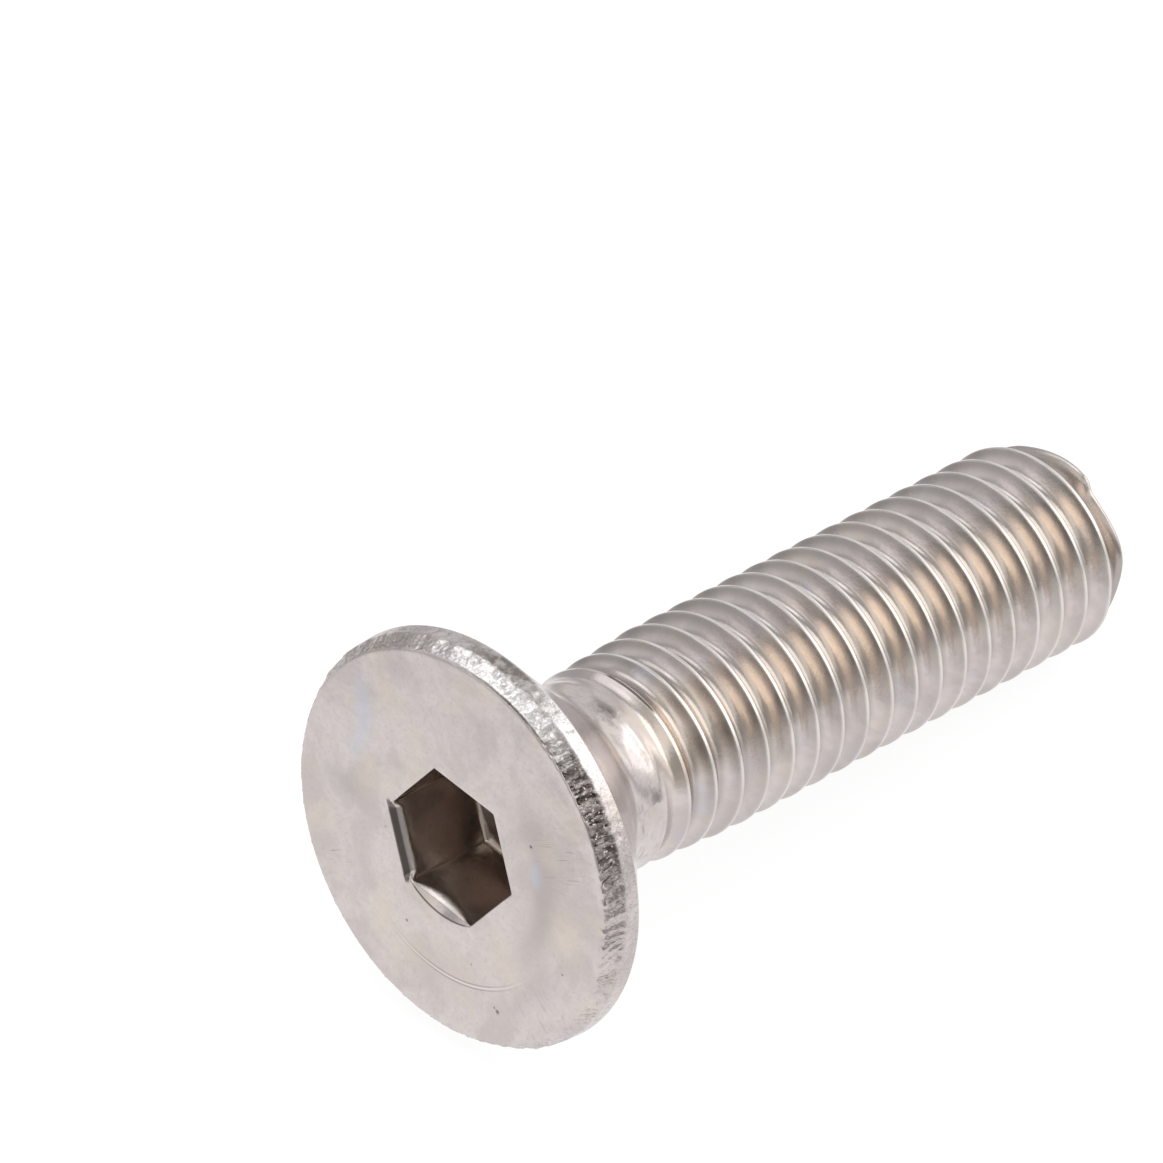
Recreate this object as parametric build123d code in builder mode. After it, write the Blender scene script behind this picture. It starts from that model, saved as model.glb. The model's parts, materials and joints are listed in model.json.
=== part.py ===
from build123d import *
from math import atan, ceil, cos, degrees, floor, radians, sin, tan
import os

# A countersunk hexagon socket screw, M8 x 30: cold-headed from stainless wire, then thread-rolled.
# It is one piece of metal, so it is one solid. It is modelled on its own axis, with the head's flat
# face at Z = 0 and the tip at Z = length, and is then laid down as it comes to rest on a table: on
# the rim of the head and on the last full crest of the thread. All sizes are in millimetres.

# Overall
length = 30.0
head_diameter = 15.4
major_diameter = 7.75

# Head: a flat face, a bevelled edge, a narrow straight land and a countersink cone
edge_width = 0.4  # of the bevelled edge, measured across the face
edge_height = 0.6
land_height = 0.65
countersink_angle = 90.0

# Neck: the plain wire between the cone and the thread
neck_length = 1.0  # from where the cone would meet the wire to where the thread begins
neck_fillet = 1.5

# Hexagon socket
socket_width = 5.03  # across flats, for a 5 mm key
socket_depth = 3.7  # of the full hexagon
socket_bevel = 0.15  # round the mouth
socket_floor_angle = 130.0  # of the cone that the punch leaves in the floor
socket_turn = 5.2  # in degrees, from the X axis to a corner of the hexagon

# Thread: right-handed. Its flats are slightly wider than a new die's, and it grows out of the wire.
pitch = 1.25
flank_angle = 60.0
crest_flat = pitch / 5
root_flat = pitch / 4
runout_turns = 2.25  # of groove that grow shallow towards the head
runout_lift = 0.03  # of the groove's floor above the wire, where the runout ends
crest_rise = 4.4  # length over which the crests grow to their full diameter

# Tip: a short taper and a slightly dished end, as the cut wire has
tip_taper_height = 0.7
tip_taper_width = 0.3
dish_width = 0.8  # of the flat rim round the dish
dish_depth = 0.12

# The thread's section: rolling lifts the crests as far as it presses the roots into the wire, so
# the wire is as thick as the pitch diameter, where groove and ridge are both half a pitch wide.
flank_slope = tan(radians(flank_angle / 2))
crest_radius = major_diameter / 2
wire_radius = crest_radius - (pitch / 2 - crest_flat) / 2 / flank_slope
root_radius = wire_radius - (pitch / 2 - root_flat) / 2 / flank_slope
cutter_radius = crest_radius + crest_flat / 4  # past the crests, still narrower than a pitch
mouth_width = root_flat + 2 * (cutter_radius - root_radius) * flank_slope

# Heights along the axis
head_radius = head_diameter / 2
cone_start = edge_height + land_height
cone_end = cone_start + (head_radius - wire_radius) / tan(radians(countersink_angle / 2))
thread_start = cone_end + neck_length
runout_height = runout_turns * pitch
full_groove_start = thread_start + runout_height
taper_start = length - tip_taper_height


def groove(height, end_radius, lefthand=False):
    """A cutter for the thread's groove: its section at X, carried up a helix from Z = 0.

    Its floor lies at root_radius at the bottom, and at end_radius at the top.
    """
    cone_angle = degrees(atan((end_radius - root_radius) / height))
    with BuildPart() as cutter:
        with BuildLine():
            Helix(pitch, height, root_radius, cone_angle=cone_angle, lefthand=lefthand)
        with BuildSketch(Plane.XZ):
            with BuildLine():
                Polyline(
                    (root_radius, -root_flat / 2),
                    (cutter_radius, -mouth_width / 2),
                    (cutter_radius, mouth_width / 2),
                    (root_radius, root_flat / 2),
                    close=True,
                )
            make_face()
        sweep(is_frenet=True)
    return cutter.part


with BuildPart() as screw:
    # Head, neck, crest envelope and tip, turned about the axis
    with BuildSketch(Plane.XZ):
        with BuildLine():
            land_end = (head_radius, cone_start)
            neck_end = (wire_radius, thread_start)
            Polyline((0, 0), (head_radius - edge_width, 0), (head_radius, edge_height), land_end)
            FilletPolyline(land_end, (wire_radius, cone_end), neck_end, radius=neck_fillet)
            Polyline(
                neck_end,
                (crest_radius, thread_start + crest_rise),
                (crest_radius, taper_start),
                (crest_radius - tip_taper_width, length),
                (crest_radius - tip_taper_width - dish_width, length),
                (0, length - dish_depth),
                (0, 0),
            )
        make_face()
    revolve(axis=Axis.Z)

    # Hexagon socket, with a bevel at its mouth and the punch's cone in its floor
    with BuildSketch(Plane.XY):
        RegularPolygon(socket_width / 2, 6, major_radius=False, rotation=socket_turn)
    extrude(amount=socket_depth, mode=Mode.SUBTRACT)
    mouth = screw.edges().filter_by(GeomType.LINE).filter_by_position(Axis.Z, 0, 0)
    chamfer(mouth, socket_bevel)
    floor_height = socket_width / 2 / tan(radians(socket_floor_angle / 2))
    with Locations((0, 0, socket_depth + floor_height / 2)):
        Cone(socket_width / 2, 0, floor_height, mode=Mode.SUBTRACT)

    # Thread: a runout towards the head, and whole turns that run out through the tip
    runout = groove(runout_height, wire_radius + runout_lift, lefthand=True)
    with Locations((0, 0, full_groove_start)):
        add(mirror(runout, about=Plane.XY, mode=Mode.PRIVATE), mode=Mode.SUBTRACT)
    full_turn = groove(pitch, root_radius)
    turns = ceil((length + mouth_width / 2 - full_groove_start) / pitch)
    for turn in range(turns):
        with Locations((0, 0, full_groove_start + turn * pitch)):
            add(full_turn, mode=Mode.SUBTRACT)

# At rest the side of -Y is underneath, and there each crest lies a quarter pitch past the groove
# at +X. The origin is then put on the table, under the middle of the screw.
crest_start = full_groove_start + pitch / 4 - crest_flat / 2
last_crest_end = crest_start + floor((taper_start - crest_flat - crest_start) / pitch) * pitch + crest_flat
tilt = atan((head_radius - crest_radius) / (last_crest_end - cone_start))
axis_plane = Plane(origin=(0, 0, 0), x_dir=(-1, 0, 0), z_dir=(0, cos(tilt), -sin(tilt)))
lying = screw.part.moved(axis_plane.location)
lying_box = lying.bounding_box()
screw.part = lying.moved(Location((0, -lying_box.center().Y, -lying_box.min.Z)))

screw.part.label = "screw"
os.makedirs("parts", exist_ok=True)
export_step(screw.part, "parts/screw.step")
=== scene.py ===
import json
from math import atan, cos, pi, radians, sin, sqrt, tan
from types import SimpleNamespace

import bmesh
import bpy
import numpy as np
from mathutils import Matrix, Vector


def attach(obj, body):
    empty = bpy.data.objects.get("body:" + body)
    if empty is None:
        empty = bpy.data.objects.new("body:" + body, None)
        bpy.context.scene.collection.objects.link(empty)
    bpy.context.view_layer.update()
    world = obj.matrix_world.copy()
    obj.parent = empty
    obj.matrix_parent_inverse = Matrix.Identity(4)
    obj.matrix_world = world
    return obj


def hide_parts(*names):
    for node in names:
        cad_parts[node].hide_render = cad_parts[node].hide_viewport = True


# The looks of a countersunk hexagon socket screw, M8 x 30, in stainless steel. Its whole skin is one
# closed surface, worked out in the screw's own frame: millimetres, Z along the axis, the head's flat
# face at Z = 0 and the tip at Z = LENGTH. It is then laid where the CAD screw lies.
#
# Sizes are in millimetres and angles in degrees, unless a comment says otherwise. Four numbers for
# window() are where it starts, is full, starts to end and has ended.

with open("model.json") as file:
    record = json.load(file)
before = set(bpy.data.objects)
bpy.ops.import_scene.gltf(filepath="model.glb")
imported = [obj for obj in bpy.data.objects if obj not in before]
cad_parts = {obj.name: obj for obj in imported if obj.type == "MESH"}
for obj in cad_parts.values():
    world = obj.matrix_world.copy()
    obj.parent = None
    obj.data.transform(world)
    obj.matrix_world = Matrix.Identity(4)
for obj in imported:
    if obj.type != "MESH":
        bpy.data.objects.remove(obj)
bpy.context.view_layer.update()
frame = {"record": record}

MM = 0.001

# ---------------- sizes

LENGTH = 30.0

# Head: face, worn ridged edge, narrow land, countersink cone
FACE_RADIUS = 7.30
FACE_ROUND = 0.05  # of the sharp corner between the face and the ridged edge
EDGE_RADIUS = 7.64  # where the ridged edge meets the land
EDGE_HEIGHT = 0.60
HEAD_RADIUS = 7.68
LAND_ROUND = 0.06  # of the corner between the land and the cone
CONE_START = 1.24

# Face: a shallow step off centre, low waves, and the fine double ring that the heading punch left
FACE_STEP = 0.015
FACE_STEP_CENTRE = (0.4, -0.3)
FACE_STEP_SPAN = (4.8, 5.5)
FACE_WAVES = ((0.004, 3.0, 11), (0.0012, 0.9, 12))  # height, wavelength, seed
FACE_FADE = (2.6, 3.4, 6.9, 7.25)  # the face is plain inside the first radius and outside the last
RING_RADIUS = 5.18
RING_OFFSET = (0.05, 0.08)  # the ring's centre lies this far the other way from the axis
RING_MIDDLE = 282  # middle of the ring's arc
RING_DEPTH = 0.012
RING_WIDTH = 0.05
RING_SPACING = 0.14

# Ridges across the edge, with chips and cracks
RIDGES = 104  # all round
FINE_RIDGES = 251
RIDGE_DEPTH = 0.13
RIDGE_OUTWARD = 0.87  # share of the cut that points outward on the slope
RIDGED_ARC = (108, 122, 250, 300)  # ridges stand here, and fine cracks take their place elsewhere
RIDGED_SIDE = 150  # where the ridges are strongest
RIDGE_GAP = 150  # where the ridged band is broken off
RIDGE_GAP_WIDTH = 1.5
RIDGES_EASE = (162, 182)  # they get shallower from the first angle to the second
OVER_FACE_SIDE = 215  # where they reach in over the face
EDGE_REACH = (-0.06, 0.12, 0.76, 1.0)  # of the cuts, from the face's border over the edge
CRACK_DEPTH = 0.32  # as a share of the ridges' depth
GRIT_DEPTH = 0.008
WIDE_EDGE_SIDE = 142  # where the edge is widest
WIDE_EDGE_SPREAD = 40
WIDE_EDGE = 0.17
RAGGED_EDGE = 0.09
LAND_DENT = 0.03
LAND_CRACK = 0.012

# Neck, as thick as the wire that the thread is rolled in
WIRE_RADIUS = 3.55
NECK_FILLET = 1.5

# Hexagon socket
SOCKET_FLAT = 5.03 / 2  # from the axis to a flat
SOCKET_DEPTH = 3.7
SOCKET_FLOOR_SLOPE = tan(radians(90 - 130 / 2))
SOCKET_FLOOR_ROUND = 0.16
SOCKET_TURN = radians(5.2)  # the angle of the first corner, in radians
CORNER_POWER = 90  # the higher, the sharper the corners
MOUTH_BEVELS = (0.05, 0.06, 0.05, 0.05, 0.05, 0.30)  # width at each flat, from the first corner round
WORN_SIDE = 270  # middle of the flat that a round countersink cuts, from the first corner
WORN_RADIUS = 2.91

# Thread
PITCH = 1.25
GROOVE_HEIGHT = 9.2123  # of the groove's centre where it crosses X
FLANK_SLOPE = tan(radians(60))
CREST_RADIUS = 3.875
ROOT_RADIUS = 3.23
ROOT_ROUND = 0.325
CREST_ROUND = 0.03
THREAD_START = 6.3
RUNOUT_FLOOR = 3.55  # the groove's floor where it fades out at the neck
RUNOUT_END = GROOVE_HEIGHT - 0.4  # where it reaches full depth
CREST_GROWTH = ((6.3, 3.56), (7.2, 3.64), (8.5, 3.72), (10.3, 3.81), (10.9, CREST_RADIUS))

# Seam on the first crest, where rolling began
SEAM_DEPTH = 0.07
SEAM_WIDTH = 0.045
SEAM_ARC = (82, 94, 104, 118)
SEAM_HEIGHTS = (7.2, 7.5, 8.0, 8.3)

# Tip: sheared from the wire, so its end is uneven
TIP_RADIUS = 3.53
TIP_LIP = 0.28
TIP_LIP_ARC = (67, 112, 114, 122)
TIP_BULGES = ((0.30, 158, 20), (0.22, 305, 40))  # height, middle and spread
TIP_ROUND = 0.12
TIP_BLEND = 0.4  # height over which the thread turns into the sheared end
DISH_DEPTH = 0.12
DISH_SPAN = (0.5, 0.95)  # shares of the end's radius between which the dish rises
THREAD_END = LENGTH - TIP_ROUND

# ---------------- fields and curves


def wander(points, wavelength, seed, waves=28):
    """A smooth field of about -1 to 1: a sum of sine waves in fixed random directions through space.

    Their lengths lie round the wavelength, in the points' own units.
    """
    random = np.random.default_rng(seed)
    directions = random.normal(size=(waves, 3))
    directions /= np.linalg.norm(directions, axis=1)[:, None]
    lengths = wavelength * random.uniform(0.7, 1.5, waves)
    phases = random.uniform(0, 2 * pi, waves)
    turns = points @ (directions / lengths[:, None]).T
    return np.sin(2 * pi * turns + phases).sum(-1) / sqrt(waves)


def crack_net(points, wavelength, seed, width):
    """A net of thin lines: 1 where a smooth field is zero, and 0 where it is past the width."""
    return np.clip(1 - np.abs(wander(points, wavelength, seed)) / width, 0, 1)


def smoothstep(low, high, x):
    """0 below low, 1 above high, and the curve 3t^2 - 2t^3 between them."""
    t = np.clip((x - low) / (high - low), 0, 1)
    return t * t * (3 - 2 * t)


def window(x, start, full, ending, end):
    """0 outside start and end, 1 from full to ending, and a smooth step at each side."""
    return smoothstep(start, full, x) * (1 - smoothstep(ending, end, x))


def hump(x, middle, spread):
    """A smooth hump, 1 at its middle: exp(-((x - middle) / spread)^2)."""
    return np.exp(-(((x - middle) / spread) ** 2))


def triangle_wave(turns):
    """0 at whole numbers and 1 halfway between them, with straight sides: 1 - |2 (turns mod 1) - 1|."""
    return 1 - np.abs(2 * (turns % 1) - 1)


def between(start, end, share):
    """The value that lies a share of the way from start to end."""
    return start + (end - start) * share


def soft_min(a, b, width):
    """The smaller of two heights, with the crease between them rounded over the width."""
    h = np.clip(0.5 + 0.5 * (b - a) / width, 0, 1)
    return b + (a - b) * h - width * h * (1 - h)


def ring(phi, r, z):
    """One closed row of points round the axis: (r cos phi, r sin phi, z)."""
    r = np.broadcast_to(r, phi.shape)
    z = np.broadcast_to(z, phi.shape)
    return np.stack([r * np.cos(phi), r * np.sin(phi), z], axis=1)


def around(columns, gather=0.0):
    """Angles of a row's points. They gather at the socket's six corners, by the share given.

    phi = corner + t - gather / 6 sin 6t, for t evenly spaced round the circle.
    """
    t = 2 * pi * np.arange(columns) / columns
    return SOCKET_TURN + t - gather / 6 * np.sin(6 * t)


def whole_turn(phi):
    """Angles in degrees, from 0 to 360."""
    return np.degrees(phi) % 360


# ---------------- thread

THREAD_COLUMNS = 120  # a turn
# Distances along the axis from the groove's middle
HALF_PROFILE = (0.625, 0.6, 0.58, 0.568, 0.553, 0.535, 0.48, 0.38, 0.2815, 0.18, 0.09)
PROFILE = np.array([-s for s in HALF_PROFILE] + [0.0] + [s for s in reversed(HALF_PROFILE)])


def groove_offset(phi, z):
    """Distance along the axis from the middle of the nearest groove: the height less the helix's."""
    helix = GROOVE_HEIGHT + PITCH * phi / (2 * pi)
    return (z - helix + PITCH / 2) % PITCH - PITCH / 2


def crest_envelope(z):
    """Radius over the crests: they grow out of the wire at the neck and then stay full."""
    heights, radii = zip(*CREST_GROWTH)
    return np.interp(z, heights, radii)


def tip_radius(phi):
    """Radius of the sheared end: round, with two low bulges and a lip that breaks off at a step."""
    x = whole_turn(phi)
    bulges = sum(height * hump(x, middle, spread) for height, middle, spread in TIP_BULGES)
    return TIP_RADIUS + TIP_LIP * window(x, *TIP_LIP_ARC) + bulges


def thread_profile(away):
    """Share of the thread's depth at a distance from the groove's middle: 0 in the root, 1 on the crest.

    It is an arc of ROOT_ROUND, then a straight flank tangent to it, cut off by the crest's land.
    """
    arc_end = ROOT_ROUND * sin(atan(FLANK_SLOPE))
    arc = ROOT_ROUND - np.sqrt(ROOT_ROUND**2 - np.minimum(away, arc_end) ** 2)
    rise = arc + FLANK_SLOPE * np.maximum(away - arc_end, 0)
    depth = CREST_RADIUS - ROOT_RADIUS
    return soft_min(rise, np.full_like(rise, depth), CREST_ROUND) / depth


def shank_radius(phi, z):
    """Radius of the threaded shank at an angle and a height.

    Between the root's radius and the crest's, which part along the runout, lies the thread's profile.
    Where rolling began, a seam runs along the middle of the crest. At the tip it turns into the end.
    """
    away = np.abs(groove_offset(phi, z))
    floor = between(RUNOUT_FLOOR, ROOT_RADIUS, smoothstep(THREAD_START, RUNOUT_END, z))
    seam = SEAM_DEPTH * window(whole_turn(phi), *SEAM_ARC) * window(z, *SEAM_HEIGHTS)
    seam = seam * hump(away, PITCH / 2, SEAM_WIDTH)
    thread = between(floor, crest_envelope(z), thread_profile(away)) - seam
    end = smoothstep(THREAD_END - TIP_BLEND, THREAD_END, z)
    return between(thread, tip_radius(phi), end)


def thread_ribbon():
    """The thread's skin as one long ribbon, from the crest below a groove to the crest above it.

    Column m stands at the angle SOCKET_TURN + 2 pi m / THREAD_COLUMNS and climbs the helix; the
    profile's offsets are added along the axis. What would lie past either end of the thread is held
    at that end.
    """
    first = int((THREAD_START - PITCH / 2 - GROOVE_HEIGHT) / PITCH * THREAD_COLUMNS) - THREAD_COLUMNS
    last = int((THREAD_END + PITCH / 2 - GROOVE_HEIGHT) / PITCH * THREAD_COLUMNS) + THREAD_COLUMNS
    column = np.arange(first, last + 1)
    phi = SOCKET_TURN + 2 * pi * column / THREAD_COLUMNS
    helix = GROOVE_HEIGHT + PITCH * phi / (2 * pi)
    z = np.clip(helix[:, None] + PROFILE[None, :], THREAD_START, THREAD_END)
    phi = np.broadcast_to(phi[:, None], z.shape)
    r = shank_radius(phi, z)
    return np.stack([r * np.cos(phi), r * np.sin(phi), z], axis=-1)


# ---------------- socket

CORNER_GATHER = 0.9
SOCKET_COLUMNS = 240
FLOOR_ROWS = ((0, 60), (0.3, 60), (0.6, 120), (0.85, 240))  # share of the radius, columns
WALL_HEIGHTS = (3.3, 2.4, 1.5, 0.8)
# The mouth's bevel: how far out and how deep, both as shares of its width
MOUTH_PROFILE = ((0, 1.4), (0.02, 1.25), (0.34, 0.56), (0.44, 0.42), (0.9, 0.2), (1.0, 0.05), (1.12, 0.0))


def hexagon_radius(phi, flats):
    """Distance to a hexagon's outline with slightly rounded corners, for six distances to its flats.

    Each flat is the line r cos(phi - middle) = flat; the sum of high powers picks the nearest.
    """
    total = 0
    for side, flat in enumerate(flats):
        middle = SOCKET_TURN + radians(30 + 60 * side)
        total = total + (np.maximum(np.cos(phi - middle), 0) / flat) ** CORNER_POWER
    return total ** (-1 / CORNER_POWER)


def floor_depth(r):
    """Depth of the socket's floor: a shallow cone, deeper towards the axis by its slope."""
    return SOCKET_DEPTH + SOCKET_FLOOR_SLOPE * np.maximum(SOCKET_FLAT - r, 0)


def socket_rows():
    """Rows from the middle of the socket's floor up its walls to the face, and the mouth's outline.

    The floor is a shallow cone of the punch, with a round into the walls. The mouth is a bevelled
    hexagon, widened on one side to the circle of WORN_RADIUS.
    """
    rows = []
    flats = (SOCKET_FLAT,) * 6
    for share, columns in FLOOR_ROWS:
        phi = around(columns, CORNER_GATHER)
        r = share * hexagon_radius(phi, flats)
        rows.append(ring(phi, r, floor_depth(r)))
    phi = around(SOCKET_COLUMNS, CORNER_GATHER)
    wall = hexagon_radius(phi, flats)
    for turn in np.linspace(0, pi / 2, 6):
        r = wall - SOCKET_FLOOR_ROUND * (1 - sin(turn))
        rows.append(ring(phi, r, floor_depth(r) - SOCKET_FLOOR_ROUND * (1 - cos(turn))))
    outline = hexagon_radius(phi, SOCKET_FLAT + np.array(MOUTH_BEVELS))
    worn = np.cos(phi - SOCKET_TURN - radians(WORN_SIDE)) > cos(radians(30))
    outline = np.where(worn, np.maximum(outline, WORN_RADIUS), outline)
    bevel = outline - wall
    for z in WALL_HEIGHTS:
        rows.append(ring(phi, wall, z))
    for out, deep in MOUTH_PROFILE:
        rows.append(ring(phi, wall + out * bevel, deep * bevel))
    return rows, outline


# ---------------- head and tip

FACE_COLUMNS = 480
EDGE_COLUMNS = 960
CONE_COLUMNS = 240
MOUTH_TO_RING = (0.05, 0.14, 0.28, 0.45, 0.65, 0.85)  # shares of the way out to the first ring row
RING_ROWS = (4.9, 4.99, 5.05, 5.11, 5.17, 5.23, 5.3)
OUTER_FACE_ROWS = ((5.9, 480), (6.4, 480), (6.8, 960), (7.0, 960), (7.14, 960))  # radius, columns
EDGE_ROWS = np.linspace(0.07, 1.0, 15)
LAND_ROWS = (0.12, 0.26, 0.4, 0.54, 0.68, 0.82, 0.93)
CONE_ROWS = ((7.45, 960), (7.1, 480), (6.5, 480), (5.8, 240), (5.1, 240), (4.4, 240))
TIP_ROWS = ((0.93, 120), (0.85, 120), (0.75, 120), (0.6, 60), (0.4, 60), (0.2, 30), (0, 30))


def ridge_cut(points, r, z):
    """Depth cut into the metal round the head's edge, and how far the cut points outward instead of down.

    Uneven ridges cross the edge: triangle waves of the angle, shifted and scaled by smooth fields,
    with chips between them. They are worst on one side, with a gap in their band there, and on the
    other side they give way to a net of fine cracks. They fade out a little way in on the face and
    where the land begins.
    """
    phi = np.arctan2(points[:, 1], points[:, 0])
    degrees = whole_turn(phi)
    reach = r - FACE_RADIUS + z
    rim = ring(phi, EDGE_RADIUS, 0.0)
    wobble = wander(rim, wavelength=1.5, seed=21)
    slant = 0.5 + 0.9 * wander(rim, wavelength=1.8, seed=28)
    coarse = triangle_wave(phi * RIDGES / (2 * pi) + slant * reach + 0.4 * wobble)
    fine = triangle_wave(phi * FINE_RIDGES / (2 * pi) - slant * reach + wobble)
    strength = 0.6 + 0.4 * wander(rim, wavelength=0.7, seed=22)
    strength = np.clip(strength + 0.25 * wander(points, wavelength=0.9, seed=27), 0.05, 1.1)
    chips = 0.5 * np.maximum(wander(points, wavelength=0.45, seed=23) - 0.3, 0)
    cracks = CRACK_DEPTH * crack_net(points, wavelength=0.6, seed=29, width=0.16)
    worst = between(0.35, 1, smoothstep(-0.55, 0.1, np.cos(phi - radians(RIDGED_SIDE))))
    worst = worst * between(1, 0.45, smoothstep(*RIDGES_EASE, degrees))
    worst = worst * between(1, 0.15, hump(degrees, RIDGE_GAP, RIDGE_GAP_WIDTH))
    ridged = window(degrees, *RIDGED_ARC)
    lines = between(0.06, 1, ridged) * strength * (coarse**1.4 + 0.25 * fine * coarse)
    cut = RIDGE_DEPTH * worst * (lines + (1 - ridged) * cracks + between(0.25, 1, ridged) * chips)
    cut = cut + GRIT_DEPTH * wander(points, wavelength=0.16, seed=24)
    start, full, ending, end = EDGE_REACH
    over_face = smoothstep(0.45, 0.8, np.cos(phi - radians(OVER_FACE_SIDE)))
    band = window(reach, start - 0.24 * over_face, full, ending, end)
    return cut * band, RIDGE_OUTWARD * smoothstep(-0.05, 0.06, reach)


def cut_ridges(points):
    """Moves a row's points into the metal by the ridges' depth there."""
    r = np.hypot(points[:, 0], points[:, 1])
    cut, outward = ridge_cut(points, r, points[:, 2])
    points[:, :2] *= (1 - cut * outward / r)[:, None]
    points[:, 2] += cut * np.sqrt(1 - outward**2)
    return points


def face_height(points):
    """How deep the head's face lies: a shallow step, the punch's fine double ring, and slight waves."""
    x, y = points[:, 0], points[:, 1]
    step_x, step_y = FACE_STEP_CENTRE
    step = FACE_STEP * smoothstep(*FACE_STEP_SPAN, np.hypot(x - step_x, y - step_y))
    ring_x, ring_y = x + RING_OFFSET[0], y + RING_OFFSET[1]
    past_ring = np.hypot(ring_x, ring_y) - RING_RADIUS
    lines = hump(past_ring, 0, RING_WIDTH) + hump(past_ring, -RING_SPACING, RING_WIDTH)
    arc = smoothstep(0.0, 0.6, np.cos(np.arctan2(ring_y, ring_x) - radians(RING_MIDDLE)))
    waves = sum(height * wander(points, wavelength, seed) for height, wavelength, seed in FACE_WAVES)
    return (step - RING_DEPTH * lines * arc + waves) * window(np.hypot(x, y), *FACE_FADE)


def face_rows(outline):
    """Rows across the face, from the socket's mouth to the start of the ridged edge.

    The first rows turn from the mouth's outline into circles; those over the fine ring lie close together.
    """
    rows = []
    mouth = around(SOCKET_COLUMNS, CORNER_GATHER)
    for share in MOUTH_TO_RING:
        phi = around(FACE_COLUMNS, CORNER_GATHER * (1 - share))
        inner = np.interp(phi, mouth, outline, period=2 * pi)
        rows.append(ring(phi, between(inner, RING_ROWS[0], share), 0.0))
    for r, columns in [(r, FACE_COLUMNS) for r in RING_ROWS] + list(OUTER_FACE_ROWS):
        rows.append(ring(around(columns), r, 0.0))
    for points in rows:
        points[:, 2] = face_height(points)
        cut_ridges(points)
    return rows


def edge_rows():
    """Rows over the ridged edge and the land, which part along a ragged line.

    The edge is a cone from FACE_RADIUS to EDGE_RADIUS, with a small round where it leaves the face. The
    land widens from it to HEAD_RADIUS, with shallow dents and fine cracks.
    """
    rows = []
    phi = around(EDGE_COLUMNS)
    for turn in np.linspace(0, radians(75), 4):
        r = FACE_RADIUS - FACE_ROUND * (1 - sin(turn))
        rows.append(cut_ridges(ring(phi, r, FACE_ROUND * (1 - cos(turn)))))
    edge = EDGE_HEIGHT + WIDE_EDGE * hump(whole_turn(phi), WIDE_EDGE_SIDE, WIDE_EDGE_SPREAD)
    edge = edge + RAGGED_EDGE * wander(ring(phi, EDGE_RADIUS, 0.0), wavelength=0.5, seed=25)
    for share in EDGE_ROWS:
        r = between(FACE_RADIUS, EDGE_RADIUS, share)
        rows.append(cut_ridges(ring(phi, r, edge * share)))
    for share in LAND_ROWS:
        points = ring(phi, between(EDGE_RADIUS, HEAD_RADIUS, share), between(edge, CONE_START, share))
        dents = LAND_DENT * np.maximum(wander(points, wavelength=0.5, seed=26) - 0.6, 0)
        dents = dents + LAND_CRACK * crack_net(points, wavelength=0.5, seed=30, width=0.2)
        points[:, :2] *= (1 - dents * sin(pi * share) / HEAD_RADIUS)[:, None]
        rows.append(points)
    return rows


def cone_rows():
    """Rows down the cone and the neck's fillet, to where the thread begins.

    An arc turns from the land through 45 degrees, the cone falls as fast as it narrows, and another
    arc of NECK_FILLET turns it along the shank.
    """
    rows = []
    phi = around(EDGE_COLUMNS)
    for turn in np.linspace(0, radians(45), 4):
        r = HEAD_RADIUS - LAND_ROUND * (1 - cos(turn))
        rows.append(ring(phi, r, CONE_START + LAND_ROUND * sin(turn)))
    for r, columns in CONE_ROWS:
        rows.append(ring(around(columns), r, CONE_START + HEAD_RADIUS - r))
    fillet_top = CONE_START + HEAD_RADIUS - WIRE_RADIUS + NECK_FILLET * tan(radians(45 / 2))
    for turn, columns in zip(np.linspace(radians(45), 0, 7), (CONE_COLUMNS,) * 6 + (THREAD_COLUMNS,)):
        r = WIRE_RADIUS + NECK_FILLET * (1 - cos(turn))
        rows.append(ring(around(columns), r, fillet_top - NECK_FILLET * sin(turn)))
    phi = around(THREAD_COLUMNS)
    rows.append(ring(phi, shank_radius(phi, THREAD_START), THREAD_START))
    return rows


def tip_rows():
    """Rows from the end of the thread over the rounded edge to the middle of the dished end."""
    rows = []
    phi = around(THREAD_COLUMNS)
    side = shank_radius(phi, THREAD_END)
    for turn in np.linspace(0, pi / 2, 7):
        r = side - TIP_ROUND * (1 - cos(turn))
        rows.append(ring(phi, r, THREAD_END + TIP_ROUND * sin(turn)))
    for share, columns in TIP_ROWS:
        phi = around(columns)
        side = shank_radius(phi, THREAD_END) - TIP_ROUND
        dish = DISH_DEPTH * (1 - smoothstep(*DISH_SPAN, share))
        rows.append(ring(phi, share * side, LENGTH - dish))
    return rows


# ---------------- one closed mesh

MERGE_DISTANCE = 1e-7  # in metres


def strip_faces(a, b, first_a, first_b):
    """Faces between two closed rows of a and b points, which start at those numbers.

    Rows as long as each other are joined by quads. Where one row has twice the points of the other,
    three triangles join two of its steps to one step of the other.
    """
    if a < b:
        return strip_faces(b, a, first_b, first_a)
    j = np.arange(b)
    k = (j + 1) % b
    if a == b:
        return [np.stack([first_a + j, first_a + k, first_b + k, first_b + j], axis=1)]
    even, odd, then = first_a + 2 * j, first_a + 2 * j + 1, first_a + (2 * j + 2) % a
    return [
        np.stack([even, odd, first_b + j], axis=1),
        np.stack([odd, first_b + k, first_b + j], axis=1),
        np.stack([odd, then, first_b + k], axis=1),
    ]


def rows_to_mesh(rows, first):
    """Points and faces of a stack of closed rows, numbered from first."""
    faces = []
    starts = first + np.cumsum([0] + [len(row) for row in rows])
    for lower, upper, start, then in zip(rows, rows[1:], starts, starts[1:]):
        faces += strip_faces(len(lower), len(upper), start, then)
    return np.concatenate(rows), faces


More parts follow.
